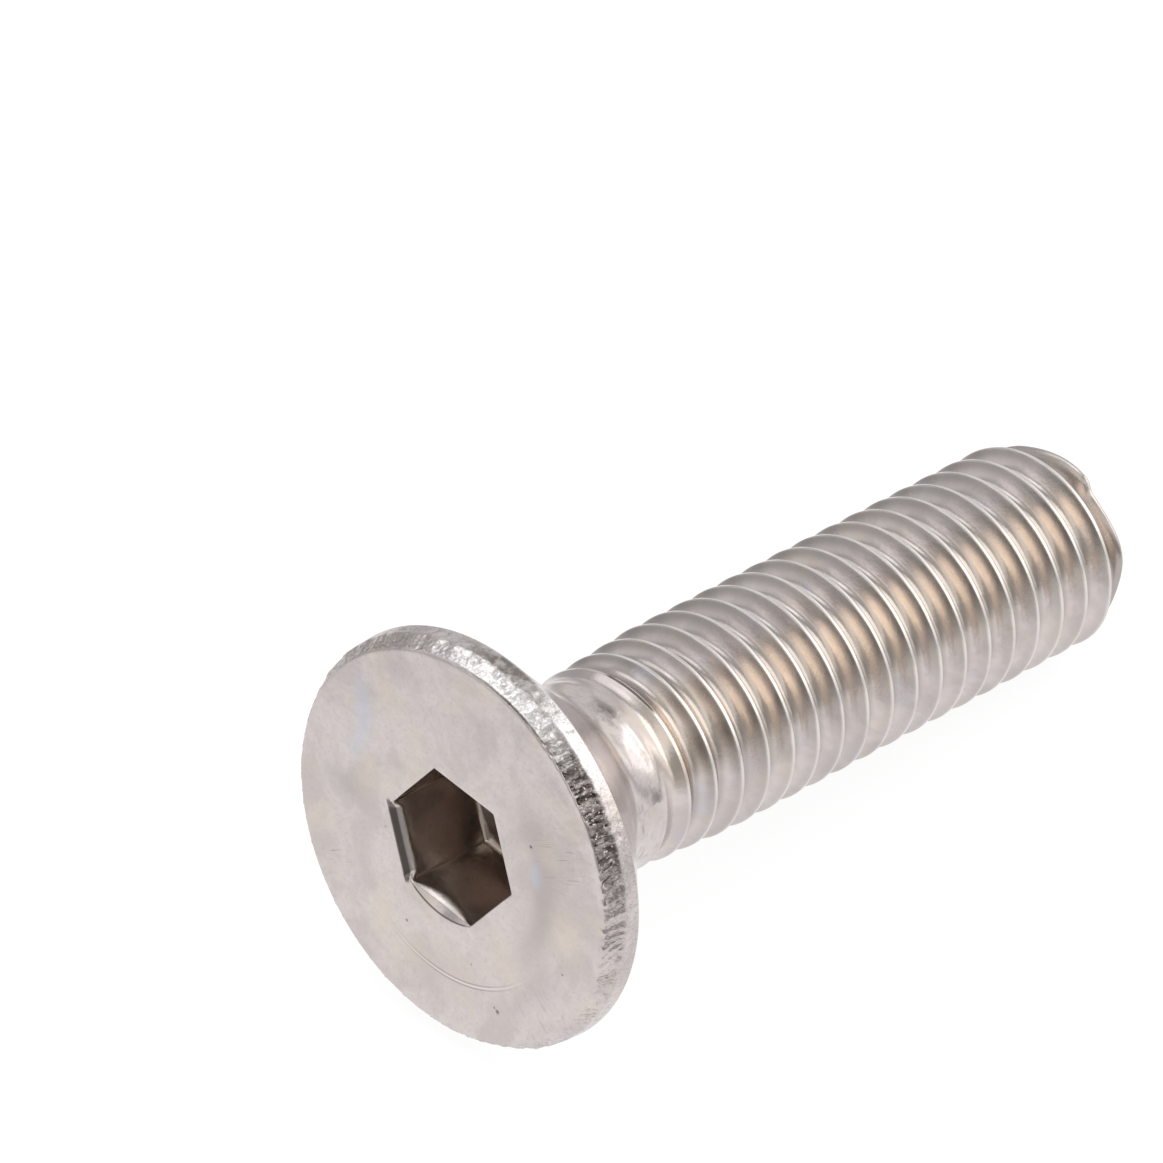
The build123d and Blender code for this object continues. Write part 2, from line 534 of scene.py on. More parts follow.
def grid_to_mesh(grid, first):
    """Points and quads of an open grid of points, numbered from first."""
    rows, columns = grid.shape[:2]
    i = np.arange(rows - 1)[:, None]
    j = np.arange(columns - 1)[None, :]
    corner = first + i * columns + j
    quads = np.stack([corner, corner + 1, corner + columns + 1, corner + columns], axis=-1)
    return grid.reshape(-1, 3), [quads.reshape(-1, 4)]


def screw_to_frame():
    """The matrix that lays the screw: its face's centre and axis are those of the CAD's socket mount."""
    mount = next(m for m in frame["record"]["mounts"] if m["name"] == "hex_socket")
    z_axis = -Vector(mount["axis"]).normalized()
    x_axis = Vector((-1, 0, 0))
    y_axis = z_axis.cross(x_axis)
    turned = Matrix((x_axis, y_axis, z_axis)).transposed().to_4x4()
    return Matrix.Translation(Vector(mount["pos_m"])) @ turned


def screw_mesh():
    """The screw's closed skin, laid in the frame, with doubles merged and faces turned outward."""
    socket, outline = socket_rows()
    head = socket + face_rows(outline) + edge_rows() + cone_rows()
    parts = []
    faces = []
    for build, source in ((rows_to_mesh, head), (grid_to_mesh, thread_ribbon()), (rows_to_mesh, tip_rows())):
        points, more_faces = build(source, sum(len(part) for part in parts))
        parts.append(points)
        faces += more_faces
    place = np.array(screw_to_frame())
    laid = MM * np.concatenate(parts) @ place[:3, :3].T + place[:3, 3]
    mesh = bpy.data.meshes.new("screw_skin")
    mesh.from_pydata(laid, [], [face for group in faces for face in group.tolist()])
    skin = bmesh.new()
    skin.from_mesh(mesh)
    bmesh.ops.remove_doubles(skin, verts=skin.verts, dist=MERGE_DISTANCE)
    bmesh.ops.recalc_face_normals(skin, faces=skin.faces)
    skin.to_mesh(mesh)
    skin.free()
    mesh.shade_smooth()
    return mesh


# ---------------- nodes


def linear(text):
    """An sRGB hex colour as linear RGBA."""
    parts = [int(text[i : i + 2], 16) / 255 for i in (1, 3, 5)]
    return [c / 12.92 if c <= 0.04045 else ((c + 0.055) / 1.055) ** 2.4 for c in parts] + [1]


def add(tree, kind, *inputs, **settings):
    """Adds a node and gives its first open output.

    The inputs fill its open sockets in order. The settings go to its properties, or else to the sockets
    that they name. An input is a number, a vector, a hex colour or another node's output.
    """
    node = tree.nodes.new("ShaderNode" + kind)
    for name in [name for name in settings if hasattr(node, name)]:
        setattr(node, name, settings.pop(name))
    sockets = [socket for socket in node.inputs if socket.enabled]
    filled = list(zip(sockets, inputs)) + [(node.inputs[name], value) for name, value in settings.items()]
    for socket, value in filled:
        if isinstance(value, bpy.types.NodeSocket):
            tree.links.new(value, socket)
        else:
            socket.default_value = linear(value) if isinstance(value, str) else value
    return next(socket for socket in node.outputs if socket.enabled)


def mask(tree, *factors):
    """A share of 0 to 1 that says where something lies: its factors multiplied together.

    A factor is a number, another share, or a smooth step (value, start, full), which is 0 where the value
    is at start and 1 where it is at full. A step may end with two levels in place of those 0 and 1.
    """
    total = None
    for factor in factors:
        if isinstance(factor, tuple):
            factor = add(tree, "MapRange", *factor, interpolation_type="SMOOTHSTEP")
        total = factor if total is None else add(tree, "Math", total, factor, operation="MULTIPLY")
    return total


def patches(tree, point, size, detail, roughness, *step, shift=None, twist=0.0):
    """Irregular patches about size millimetres across: a smooth step between two levels of a noise.

    A shift takes them from another part of the noise, and a twist bends their outlines.
    """
    if shift:
        point = add(tree, "Mapping", point, shift, vector_type="TEXTURE")
    settings = {"Scale": 1 / size, "Detail": detail, "Roughness": roughness, "Distortion": twist}
    return mask(tree, (add(tree, "TexNoise", point, **settings), *step))


def spot(tree, point, x, y, size, stretch=1.0, turn=0.0, z=0.0, levels=(0, 1)):
    """A soft round or long patch, 1 near its middle and 0 at size millimetres, or between the levels."""
    axes = (size * stretch, size, size)
    place = add(tree, "Mapping", point, (x, y, z), (0, 0, radians(turn)), axes, vector_type="TEXTURE")
    away = add(tree, "VectorMath", place, operation="LENGTH")
    return mask(tree, (away, 1.0, 0.1, *levels))


# ---------------- the steel and what lies on it

SATIN = 0.17  # roughness where the steel is smoothest
STEEL = "#D8CFCD"
STEEL_GREYER = "#CBC2C0"
STRAW_STAIN = "#DACDBD"
# Straw tint and painted highlight along one side of the thread
THREAD_STRAW_HIGHLIGHT = "#EADBCC"
BLUE_STAIN = "#C3C9D9"
GREY_STAIN = "#B2ABA9"
PINK_STAIN = "#BFB1AF"
# Smudges, streaks, scratches and cracks, and painted shade beside the crests and in the face's ring
SMUDGE_AND_SHADE = "#8C8783"
LAND_STAIN = "#857A74"
# Pits and nicks, the dark seam and border lines, and painted shade along the socket's worn edge
PIT_AND_SHADE = "#4A403A"
# Painted highlight, on the crests and on the light line of the face's ring
PALE_HIGHLIGHT = "#ECE8E6"
# Painted highlight, for a spot on the rim and the glints in its film
WHITE_HIGHLIGHT = "#FBF8F7"
# Painted shade in the thread's roots
ROOT_SHADE = "#A09892"
RIM_FILM = "#463832"
SOCKET_FILM = "#D8D1CA"
SOCKET_FILM_LIGHT = "#E2DCD6"
SOCKET_EDGE = "#CFC4BA"
SOCKET_FLOOR_FILM = "#77645C"
# Painted shade on one bevel of the socket's mouth
BEVEL_SHADE = "#60564F"

# Zones of the surface, by height along the axis: where each starts to show and where it is full
FACE_ZONE = (0.2, 0.06)
NECK_START = (2.2, 3.4)
NECK_END = (7.2, 6.2)
THREAD_ZONE = (6.2, 7.5)
FULL_THREAD = (7.4, 8.8)
SOCKET_ZONE = (5.6, 5.2)
# The same by radius
INSIDE_EDGE = (7.3, 7.1)
RIM_ZONE = (7.3, 7.36)

# Noise that is laid out round the axis: by the radius of the circle on which it is taken
SPOKES = (FACE_RADIUS, FACE_RADIUS, 0)
SPOKE_STRETCH = (1, 1, 5)  # across the rim
HOOPS = (1.2, 1.2, 0)

# Patches: size, detail and roughness of the noise, then the levels between which they fade in
MOTTLE = (2.6, 4.0, 0.6, 0.42, 0.62)
MOTTLE_TWIST = 0.6
GRAIN = (0.45, 3.0, 0.6, 0.35, 0.65)
SPECKLE = (0.16, 2.0, 0.6, 0.5, 0.7)
SPECKLE_LEVELS = (0.25, 0.06)  # before and on the thread
STRAW_PATCHES = (1.9, 2.0, 0.5, 0.52, 0.68)
BLUE_PATCHES = (1.6, 2.0, 0.5, 0.58, 0.70)
NECK_STREAKS = (0.2, 3.0, 0.6, 0.5, 0.75)
NECK_SMUDGES = (0.5, 4.0, 0.7, 0.54, 0.66)
TORN = (0.3, 2.0, 0.5, 0.4, 0.55)
SCRATCHES = (1.0, 1.0, 0.5, 0.60, 0.72)
SCRATCH_SIZE = (1.4, 0.09, 1)  # long and wide, for a noise whose size is 1
LAND_SPECKS = (0.35, 3.0, 0.7, 0.35, 0.6, 0.4, 0.9)
FILM_CROSSING = (0.2, 3.0, 0.7, 0.38, 0.6, 0.4, 1.0)
GLINTS = (0.13, 2.0, 0.5, 0.58, 0.66)

# Soft stains on the face: place, size, stretch, turn, strength, colour
FACE_STAINS = (
    (-4.3, -0.6, 1.8, 2.1, 95, 0.45, PINK_STAIN),
    (-3.9, 2.6, 1.6, 2.0, 50, 0.35, PINK_STAIN),
    (-0.6, -5.0, 1.6, 2.2, 0, 0.30, PINK_STAIN),
    (4.75, 3.1, 0.75, 2.4, 80, 0.50, BLUE_STAIN),
    (4.78, 1.5, 0.55, 1.6, 95, 0.40, BLUE_STAIN),
    (-3.93, 1.08, 0.42, 1.7, 75, 0.75, BLUE_STAIN),
    (-4.35, -0.1, 0.60, 1.9, 70, 0.30, GREY_STAIN),
    (3.5, 4.1, 0.9, 1.2, 20, 0.35, STRAW_STAIN),
    (2.2, 3.3, 0.8, 1.2, 60, 0.30, STRAW_STAIN),
    (4.36, 1.2, 0.6, 1.0, 0, 0.35, STRAW_STAIN),
    (2.83, -4.3, 0.9, 1.3, 30, 0.35, STRAW_STAIN),
    (1.1, -5.0, 1.0, 1.3, 10, 0.40, STRAW_STAIN),
    (-3.0, -3.2, 1.2, 1.2, 40, 0.40, STRAW_STAIN),
    (-4.3, 2.2, 0.7, 1.2, 50, 0.45, STRAW_STAIN),
    (-5.6, -0.5, 1.1, 1.3, 80, 0.55, STRAW_STAIN),
    (-3.4, 2.95, 1.0, 1.5, 60, 0.22, GREY_STAIN),
    (-4.7, -3.1, 1.1, 1.4, 120, 0.35, GREY_STAIN),
    (5.2, -0.3, 1.1, 1.8, 10, 0.45, GREY_STAIN),
)

# Small pits and specks on the face: place, size, strength
FACE_PITS = (
    (-2.91, -5.30, 0.13, 0.8),
    (-2.75, -5.22, 0.08, 0.7),
    (1.64, -4.05, 0.09, 0.7),
    (-3.54, 2.12, 0.10, 0.8),
    (-5.61, -2.10, 0.08, 0.6),
    (3.1, -0.9, 0.07, 0.4),
    (-1.5, -4.1, 0.07, 0.4),
)

# Nicks and smudges on the shank and neck: angle, radius and height of the place, size, strength
SHANK_MARKS = (
    (106, 3.6, 6.35, 0.55, 0.45),
    (99, 3.7, 6.1, 0.5, 0.35),
    (162, 3.6, 6.45, 0.45, 0.5),
    (185.5, 3.75, 11.0, 0.24, 0.7),
    (186, 3.65, 8.34, 0.24, 0.7),
)

# Patches of fine scratches on the face: place, size, the scratches' direction
FACE_SCRATCHES = (
    (-4.9, 2.3, 1.7, 152),
    (5.2, -3.1, 1.0, -33),
    (-4.9, -4.6, 1.8, 222),
)

# Thread: the sides that show, and bands by distance along the axis from the groove's middle
STRAW_HIGHLIGHT_SIDE = 136  # the shank has straw tint and a painted highlight along this side
STRAW_HIGHLIGHT_LUMP = 2.4
STRAW_HIGHLIGHT_SPREAD = (0.90, 1.06)
STRAW_HIGHLIGHT_RAGGED = 0.14
SEAM_SIDE = 100
CREST_SIDES = (radians(50), radians(90), 1.0, 0.35)  # the crests' painted highlight and shade lines fade, by angle from SEAM_SIDE
SEAM_SIDES = (radians(20), radians(15))
BELOW_CREST = (0.30, 0.50, 0.0, 0.62)
ABOVE_CREST = (-0.52, -0.44, 0.35, 0.0)
CREST_LINE_END = (0.556, 0.53)
CREST = (0.562, 0.585)
SEAM_BAND = (0.56, 0.59)
SEAM_START = (7.2, 7.4)
SEAM_END = (8.3, 8.0)
ROOT = (0.3, 0.1)
SMUDGE_HEIGHT = (4.9, 5.6)  # on the neck

# Marks of the heading punch on the face; its fine ring is drawn in painted shade and highlight
RING_ARC = (-0.9, -4.9, 3.9)  # place and size of the spot in which the fine ring shows
RING_LINES = ((0.0, SMUDGE_AND_SHADE), (0.07, PALE_HIGHLIGHT), (0.15, SMUDGE_AND_SHADE))  # how far inside RING_RADIUS: lines of painted shade, painted highlight and painted shade
RING_LINE_WIDTH = 0.03
BROAD_RING = (3.7, 4.3)
BROAD_RING_END = (5.2, 4.5)
BROAD_RING_ARC = (-4.4, 0.0, 4.2)

# Rim
HIGHLIGHT_SPOT = (-1.6, 7.3, 5.5)  # where a highlight is painted on the rim: place and size
HIGHLIGHT_EDGE = (7.25, 7.35)
RIM_BACK = (1.3, 1.15)
CRACK_NOISE = 0.30
CRACK_WIDTH = 0.03  # in the noise's own levels, each way from its middle
LAND_STAIN_SPOT = (-0.65, 7.5, 3.4)
LAND_STAIN_MIDDLE = 0.9
LAND_ZONE = (0.55, 0.7)
BORDER_LINE = (0.005, 0.03)
BORDER_LINE_END = (0.12, 0.07)
BORDER_EDGE = (7.27, 7.3)
BORDER_SPOT = (-2.2, 7.0, 3.6)
FILM_SPOT = (-5.75, 4.65, 4.8)  # where the edge keeps most of its film: place and size
FILM_LEVELS = (0.08, 1.0)  # away from that spot and at it
FILM_DEPTH = (0.0, 0.045)
FILM_START = (0.0, 0.08)
FILM_END = (0.82, 0.62)

# Socket
MOUTH_ZONE = (3.05, 2.95)
WALL_ZONE = (0.12, 0.45)
LOWER_EDGE = (SOCKET_DEPTH - 0.2, SOCKET_DEPTH - 0.12)
FLOOR_ZONE = (SOCKET_DEPTH, SOCKET_DEPTH + 0.05)
CLOUD_SIZE = 1.5
LEFT_FLAT = 330  # middle of the flat with the wide bevel, from the first corner
LEFT_BEVEL = (2.60, 2.64)  # by distance from the axis
LEFT_BEVEL_END = (2.84, 2.79)
LEFT_BEVEL_HALF = (1.62, 1.45)  # by distance along the flat from its middle
CRESCENT_RADIUS = 2.75
CRESCENT_SIZE = 1.7
CRESCENT_FADE = (0.0, 0.3)
CRESCENT_LINE = (WORN_RADIUS + 0.02, 0.03)  # radius, half width


def measures(tree):
    """What the finish is laid out by, in the screw's own frame: the point, its height, radius and angle.

    Noise on spokes makes lines that cross the rim, and noise on hoops makes lines that go round.
    """
    place = screw_to_frame()
    point = add(tree, "TexCoord").node.outputs["Object"]
    laid = (place.translation, place.to_euler(), (MM, MM, MM))
    point = add(tree, "Mapping", point, *laid, vector_type="TEXTURE")
    split = add(tree, "SeparateXYZ", point).node.outputs
    height = split["Z"]
    flat = add(tree, "CombineXYZ", split["X"], split["Y"])
    radius = add(tree, "VectorMath", flat, operation="LENGTH")
    outward = add(tree, "VectorMath", flat, operation="NORMALIZE")
    rise = add(tree, "CombineXYZ", Z=add(tree, "Math", height, radius, operation="ADD"))
    slow_rise = add(tree, "Mapping", rise, Scale=SPOKE_STRETCH, vector_type="TEXTURE")
    return SimpleNamespace(
        point=point,
        height=height,
        radius=radius,
        flat=flat,
        outward=outward,
        angle=add(tree, "Math", split["Y"], split["X"], operation="ARCTAN2"),
        spokes=add(tree, "VectorMath", outward, SPOKES, slow_rise, operation="MULTIPLY_ADD"),
        hoops=add(tree, "VectorMath", outward, HOOPS, rise, operation="MULTIPLY_ADD"),
        on_face=mask(tree, (height, *FACE_ZONE), (radius, *INSIDE_EDGE)),
        on_thread=mask(tree, (height, *THREAD_ZONE)),
        on_neck=mask(tree, (height, *NECK_START), (height, *NECK_END)),
        in_head=mask(tree, (height, *SOCKET_ZONE)),
    )


# From here to socket_film_and_shade, each function gives layers of colour from the lowest up: where a
# layer lies, its colour and its strength


def tumbled_steel(tree, at):
    """Mottling of the tumbled surface, in lumps of 2 to 3 mm and of 0.45 mm, fine specks, straw patches."""
    yield at.mottle, STEEL_GREYER, 1.0
    yield at.grain, STEEL_GREYER, 0.35
    fewer = mask(tree, (at.height, *THREAD_ZONE, *SPECKLE_LEVELS))
    yield mask(tree, patches(tree, at.point, *SPECKLE), fewer), GREY_STAIN, 1.0
    yield patches(tree, at.point, *STRAW_PATCHES, shift=(9, 4, 2)), STRAW_STAIN, 0.35


def face_stains(tree, at):
    """Soft stains on the face."""
    for x, y, size, stretch, turn, strength, layer_colour in FACE_STAINS:
        yield spot(tree, at.point, x, y, size, stretch, turn), layer_colour, strength


def thread_stains_and_highlight(tree, at):
    """Straw tint and a painted highlight along one side of the rolled thread, and blue patches all over it.
    """
    side = (cos(radians(STRAW_HIGHLIGHT_SIDE)), sin(radians(STRAW_HIGHLIGHT_SIDE)), 0)
    facing = add(tree, "VectorMath", at.outward, side, operation="DOT_PRODUCT")
    lumps = add(tree, "Mapping", at.point, (3, 7, 5), vector_type="TEXTURE")
    lumps = add(tree, "TexNoise", lumps, Scale=1 / STRAW_HIGHLIGHT_LUMP)
    ragged = add(tree, "Math", lumps, STRAW_HIGHLIGHT_RAGGED, facing, operation="MULTIPLY_ADD")
    # Straw tint and painted highlight along one side
    yield mask(tree, (ragged, *STRAW_HIGHLIGHT_SPREAD), at.on_thread), THREAD_STRAW_HIGHLIGHT, 0.8
    blue = patches(tree, at.point, *BLUE_PATCHES, shift=(8, 1, 3))
    yield mask(tree, blue, at.on_thread), BLUE_STAIN, 0.22


def thread_highlights_and_shade(tree, at):
    """Crests burnished by the rolling dies, with painted highlights, painted shade on both sides and in the
    roots.

    They follow the helix, by the distance along the axis from the nearest groove's middle, and the
    crests' lines fade out at the side. The seam where rolling began has a dark line too.
    """
    climb = add(tree, "Math", at.height, GROOVE_HEIGHT, operation="SUBTRACT")
    climb = add(tree, "Math", at.angle, -PITCH / (2 * pi), climb, operation="MULTIPLY_ADD")
    offset = add(tree, "Math", climb, PITCH / 2, -PITCH / 2, operation="WRAP")
    away = add(tree, "Math", offset, operation="ABSOLUTE")
    from_seam = add(tree, "Math", at.angle, radians(SEAM_SIDE), operation="SUBTRACT")
    from_seam = add(tree, "Math", from_seam, operation="ABSOLUTE")
    full = mask(tree, (at.height, *FULL_THREAD))
    shown = mask(tree, (from_seam, *CREST_SIDES))
    below = mask(tree, (offset, *BELOW_CREST))
    above = mask(tree, (offset, *ABOVE_CREST))
    under = add(tree, "Math", below, above, operation="ADD")
    # Painted shade beside the crests
    yield mask(tree, under, (away, *CREST_LINE_END), full, shown), SMUDGE_AND_SHADE, 1.0
    # Painted highlight on the crests
    yield mask(tree, (away, *CREST), full, shown), PALE_HIGHLIGHT, 0.9
    began = mask(tree, (away, *SEAM_BAND), (at.height, *SEAM_START), (at.height, *SEAM_END))
    yield mask(tree, began, (from_seam, *SEAM_SIDES)), PIT_AND_SHADE, 0.8
    # Painted shade in the roots
    yield mask(tree, (away, *ROOT), full), ROOT_SHADE, 0.5


def neck_marks(tree, at):
    """Streaks round the neck, and dark smudges near the thread."""
    yield mask(tree, patches(tree, at.hoops, *NECK_STREAKS), at.on_neck), SMUDGE_AND_SHADE, 0.25
    smudges = patches(tree, at.hoops, *NECK_SMUDGES, shift=(5, 5, 1))
    yield mask(tree, smudges, (at.height, *SMUDGE_HEIGHT), at.on_neck), SMUDGE_AND_SHADE, 0.5


def punch_rings(tree, at):
    """The fine ring of the heading punch in painted shade and highlight, and a broad greyer one on the other
    side of the socket.
    """
    from_punch = add(tree, "VectorMath", at.flat, (*RING_OFFSET, 0), operation="ADD")
    reach = add(tree, "VectorMath", from_punch, operation="LENGTH")
    arc = spot(tree, at.point, *RING_ARC)
    # Painted shade in the ring's two grooves and a painted highlight between them
    for inside, layer_colour in RING_LINES:
        line = add(tree, "Math", reach, RING_RADIUS - inside, RING_LINE_WIDTH, operation="COMPARE")
        yield mask(tree, line, arc, at.on_face), layer_colour, 0.5
    broad = mask(tree, (reach, *BROAD_RING), (reach, *BROAD_RING_END))
    yield mask(tree, broad, spot(tree, at.point, *BROAD_RING_ARC)), GREY_STAIN, 0.5


def wear(tree, at):
    """Pits and scratches on the face, and torn marks on the shank."""
    for x, y, size, strength in FACE_PITS:
        yield spot(tree, at.point, x, y, size), PIT_AND_SHADE, strength
    for angle, r, z, size, strength in SHANK_MARKS:
        mark = spot(tree, at.point, r * cos(radians(angle)), r * sin(radians(angle)), size, z=z)
        yield mask(tree, mark, patches(tree, at.point, *TORN)), PIT_AND_SHADE, strength
    for x, y, size, turn in FACE_SCRATCHES:
        turned = (0, 0, radians(turn))
        along = add(tree, "Mapping", at.point, (x, y, 0), turned, SCRATCH_SIZE, vector_type="TEXTURE")
        lines = patches(tree, along, *SCRATCHES)
        yield mask(tree, lines, spot(tree, at.point, x, y, size), at.on_face), SMUDGE_AND_SHADE, 0.55


def rim_wear_and_highlights(tree, at):
    """A painted highlight on part of the rim, thin dark cracks, a stained land, and film in the ridges'
    hollows.

    The film lies by how far the surface is sunk below the plain slope of the edge, with small painted glints
    in it. A dark line runs just inside the edge, along the face's border.
    """
    highlight = mask(tree, spot(tree, at.point, *HIGHLIGHT_SPOT), (at.radius, *HIGHLIGHT_EDGE))
    # Painted highlight on part of the rim
    yield highlight, WHITE_HIGHLIGHT, 0.9
    near_rim = mask(tree, (at.radius, *RIM_ZONE), (at.height, *RIM_BACK))
    level = add(tree, "TexNoise", at.point, Scale=1 / CRACK_NOISE, Detail=4.0, Roughness=0.6)
    level = add(tree, "Math", level, 0.5, operation="SUBTRACT")
    level = add(tree, "Math", level, operation="ABSOLUTE")
    yield mask(tree, (level, CRACK_WIDTH, 0.0), near_rim), SMUDGE_AND_SHADE, 0.42
    stained = spot(tree, at.point, *LAND_STAIN_SPOT, z=LAND_STAIN_MIDDLE)
    specks = patches(tree, at.point, *LAND_SPECKS)
    yield mask(tree, stained, (at.height, *LAND_ZONE), near_rim, specks), LAND_STAIN, 1.0
    border = mask(tree, (at.height, *BORDER_LINE), (at.height, *BORDER_LINE_END), (at.radius, *BORDER_EDGE))
    yield mask(tree, border, spot(tree, at.point, *BORDER_SPOT)), PIT_AND_SHADE, 0.8
    slope = (EDGE_RADIUS - FACE_RADIUS) / EDGE_HEIGHT
    sunk = add(tree, "Math", at.height, slope, FACE_RADIUS, operation="MULTIPLY_ADD")
    sunk = add(tree, "Math", sunk, at.radius, operation="SUBTRACT")
    film = mask(tree, (sunk, *FILM_DEPTH), (at.height, *FILM_START), (at.height, *FILM_END))
    near = spot(tree, at.point, *FILM_SPOT, levels=FILM_LEVELS)
    film = mask(tree, film, near, patches(tree, at.spokes, *FILM_CROSSING))
    yield film, RIM_FILM, 1.0
    # Painted glints in the film
    yield mask(tree, patches(tree, at.point, *GLINTS), film), WHITE_HIGHLIGHT, 0.8


def socket_film_and_shade(tree, at):
    """A thin clouded film on the socket's walls, a dark one on its floor, painted shade on a bevel and the
    worn edge.
    """
    film = add(tree, "TexNoise", at.point, Scale=1 / CLOUD_SIZE)
    film = add(tree, "Mix", film, SOCKET_FILM, SOCKET_FILM_LIGHT, data_type="RGBA")
    lower_edge = mask(tree, (at.height, *LOWER_EDGE))
    film = add(tree, "Mix", lower_edge, film, SOCKET_EDGE, data_type="RGBA")
    floor = mask(tree, (at.height, *FLOOR_ZONE))
    film = add(tree, "Mix", floor, film, SOCKET_FLOOR_FILM, data_type="RGBA")
    yield mask(tree, (at.radius, *MOUTH_ZONE), (at.height, *WALL_ZONE), at.in_head), film, 1.0
    turn = (0, 0, SOCKET_TURN + radians(LEFT_FLAT))
    left = add(tree, "Mapping", at.point, Rotation=turn, vector_type="TEXTURE")
    out, along = add(tree, "SeparateXYZ", left).node.outputs[:2]
    along = add(tree, "Math", along, operation="ABSOLUTE")
    strip = mask(tree, (out, *LEFT_BEVEL), (out, *LEFT_BEVEL_END), (along, *LEFT_BEVEL_HALF))
    # Painted shade on the bevel
    yield mask(tree, strip, at.in_head), BEVEL_SHADE, 0.85
    turn = SOCKET_TURN + radians(WORN_SIDE)
    worn = spot(tree, at.point, CRESCENT_RADIUS * cos(turn), CRESCENT_RADIUS * sin(turn), CRESCENT_SIZE)
    line = add(tree, "Math", at.radius, *CRESCENT_LINE, operation="COMPARE")
    # Painted shade along the worn edge
    yield mask(tree, line, (worn, *CRESCENT_FADE)), PIT_AND_SHADE, 0.7


def stainless_tumbled():
    """A2 stainless steel, cold-headed, thread-rolled and tumbled.

    It is satin, pale and slightly warm, with faint straw and blue stains, greyer where it is rougher.
    The hollows of the ridged edge and the socket's floor keep a dark brown film of lubricant, and the
    socket's walls a thin one. Painted highlights lie on the crests, part of the rim, the face's ring and
    one side of the thread, and painted shade beside the crests, in the roots, in the face's ring, on one
    bevel of the socket and along its worn edge.
    """
    material = bpy.data.materials.new("stainless_a2_tumbled")
    material.use_nodes = True
    tree = material.node_tree
    shader = tree.nodes["Principled BSDF"].inputs
    at = measures(tree)
    at.mottle = patches(tree, at.point, *MOTTLE, twist=MOTTLE_TWIST)
    at.grain = patches(tree, at.point, *GRAIN)
    colour = STEEL
    zones = (tumbled_steel, face_stains, thread_stains_and_highlight, thread_highlights_and_shade)
    zones += (neck_marks, punch_rings, wear, rim_wear_and_highlights, socket_film_and_shade)
    for zone in zones:
        for where, layer_colour, strength in zone(tree, at):
            where = mask(tree, where, strength)
            colour = add(tree, "Mix", where, colour, layer_colour, data_type="RGBA")
    shader["Metallic"].default_value = 1.0
    tree.links.new(colour, shader["Base Color"])
    rough = SATIN
    for where, rougher in ((at.mottle, 0.06), (at.grain, 0.04), (at.on_thread, 0.03)):
        rough = add(tree, "Math", where, rougher, rough, operation="MULTIPLY_ADD")
    tree.links.new(rough, shader["Roughness"])
    tree.links.new(tumbling_marks(tree, at), shader["Normal"])
    return material


MARK_SIZE = 0.25  # real ones are under 0.1 mm across, too fine to show
CRACKLE_SIZE = 0.2
CRACKLE_STRENGTH = 5.0
MARK_DEPTH = 0.006
CRACKLE_ZONE = (7.2, 7.3)
CRACKLE_START = (0.02, 0.1)
CRACKLE_END = (1.35, 1.2)


def tumbling_marks(tree, at):
    """The small dents of tumbling, drawn coarser than they are, and a deeper crackle over the rim."""
    marks = add(tree, "TexNoise", at.point, Scale=1 / MARK_SIZE, Detail=3.0, Roughness=0.65)
    on_rim = mask(tree, (at.radius, *CRACKLE_ZONE), (at.height, *CRACKLE_START), (at.height, *CRACKLE_END))
    crackle = add(tree, "TexNoise", at.point, Scale=1 / CRACKLE_SIZE, Detail=4.0, Roughness=0.7)
    crackle = mask(tree, crackle, on_rim)
    marks = add(tree, "Math", crackle, CRACKLE_STRENGTH, marks, operation="MULTIPLY_ADD")
    return add(tree, "Bump", Strength=1.0, Distance=MARK_DEPTH * MM, Height=marks)


# ---------------- camera


def aim(thing, place, target):
    """Puts a lamp, card or camera at a place and turns its -Z to the target, with +Y up."""
    thing.location = place
    thing.rotation_euler = (Vector(target) - Vector(place)).to_track_quat("-Z", "Y").to_euler()


def toward(azimuth, elevation):
    """Unit vector away from the screw, in degrees: azimuth 0 is -Y, 90 is +X."""
    a, e = radians(azimuth), radians(elevation)
    return Vector((sin(a) * cos(e), -cos(a) * cos(e), sin(e)))


CAMERA_AZIMUTH = 44.735
CAMERA_ELEVATION = 40.913
SENSOR = 36
LENS = 433.4
CAMERA_FROM_FACE = Vector((253.408, -249.453, 320.187)) * MM  # from the centre of the head's face


def make_camera():
    """A long lens, looking down on the screw from the side of its head."""
    data = bpy.data.cameras.new("camera")
    data.sensor_width = SENSOR
    data.lens = LENS
    data.clip_start = 0.01
    camera = bpy.data.objects.new("camera", data)
    bpy.context.scene.collection.objects.link(camera)
    place = screw_to_frame().translation + CAMERA_FROM_FACE
    aim(camera, place, place - toward(CAMERA_AZIMUTH, CAMERA_ELEVATION))
    bpy.context.scene.camera = camera


# ---------------- table, world and lamps

FLOOR_SIZE = 3.0  # metres, as all lengths from here on
POOL_FULL = 0.025  # the metal sees the table white out to here, and dimmer past POOL_END
POOL_END = 0.075
POOL_OUTSIDE = 0.55
SHADOW_PAINT = (0.2, 0.2, 0.2, 1)  # the part of the table's white that takes the shadow
SHADOW_GLOW = 0.88  # and the part that doesn't
LIT_PAINT = (0.8, 0.8, 0.8, 1)
STUDIO_GREY = 0.5
LAMP_DISTANCE = 0.8
CARD_DISTANCE = 0.7
CARD_SPACING = 0.02
LOOK_AT = (0, 0, 0.007)

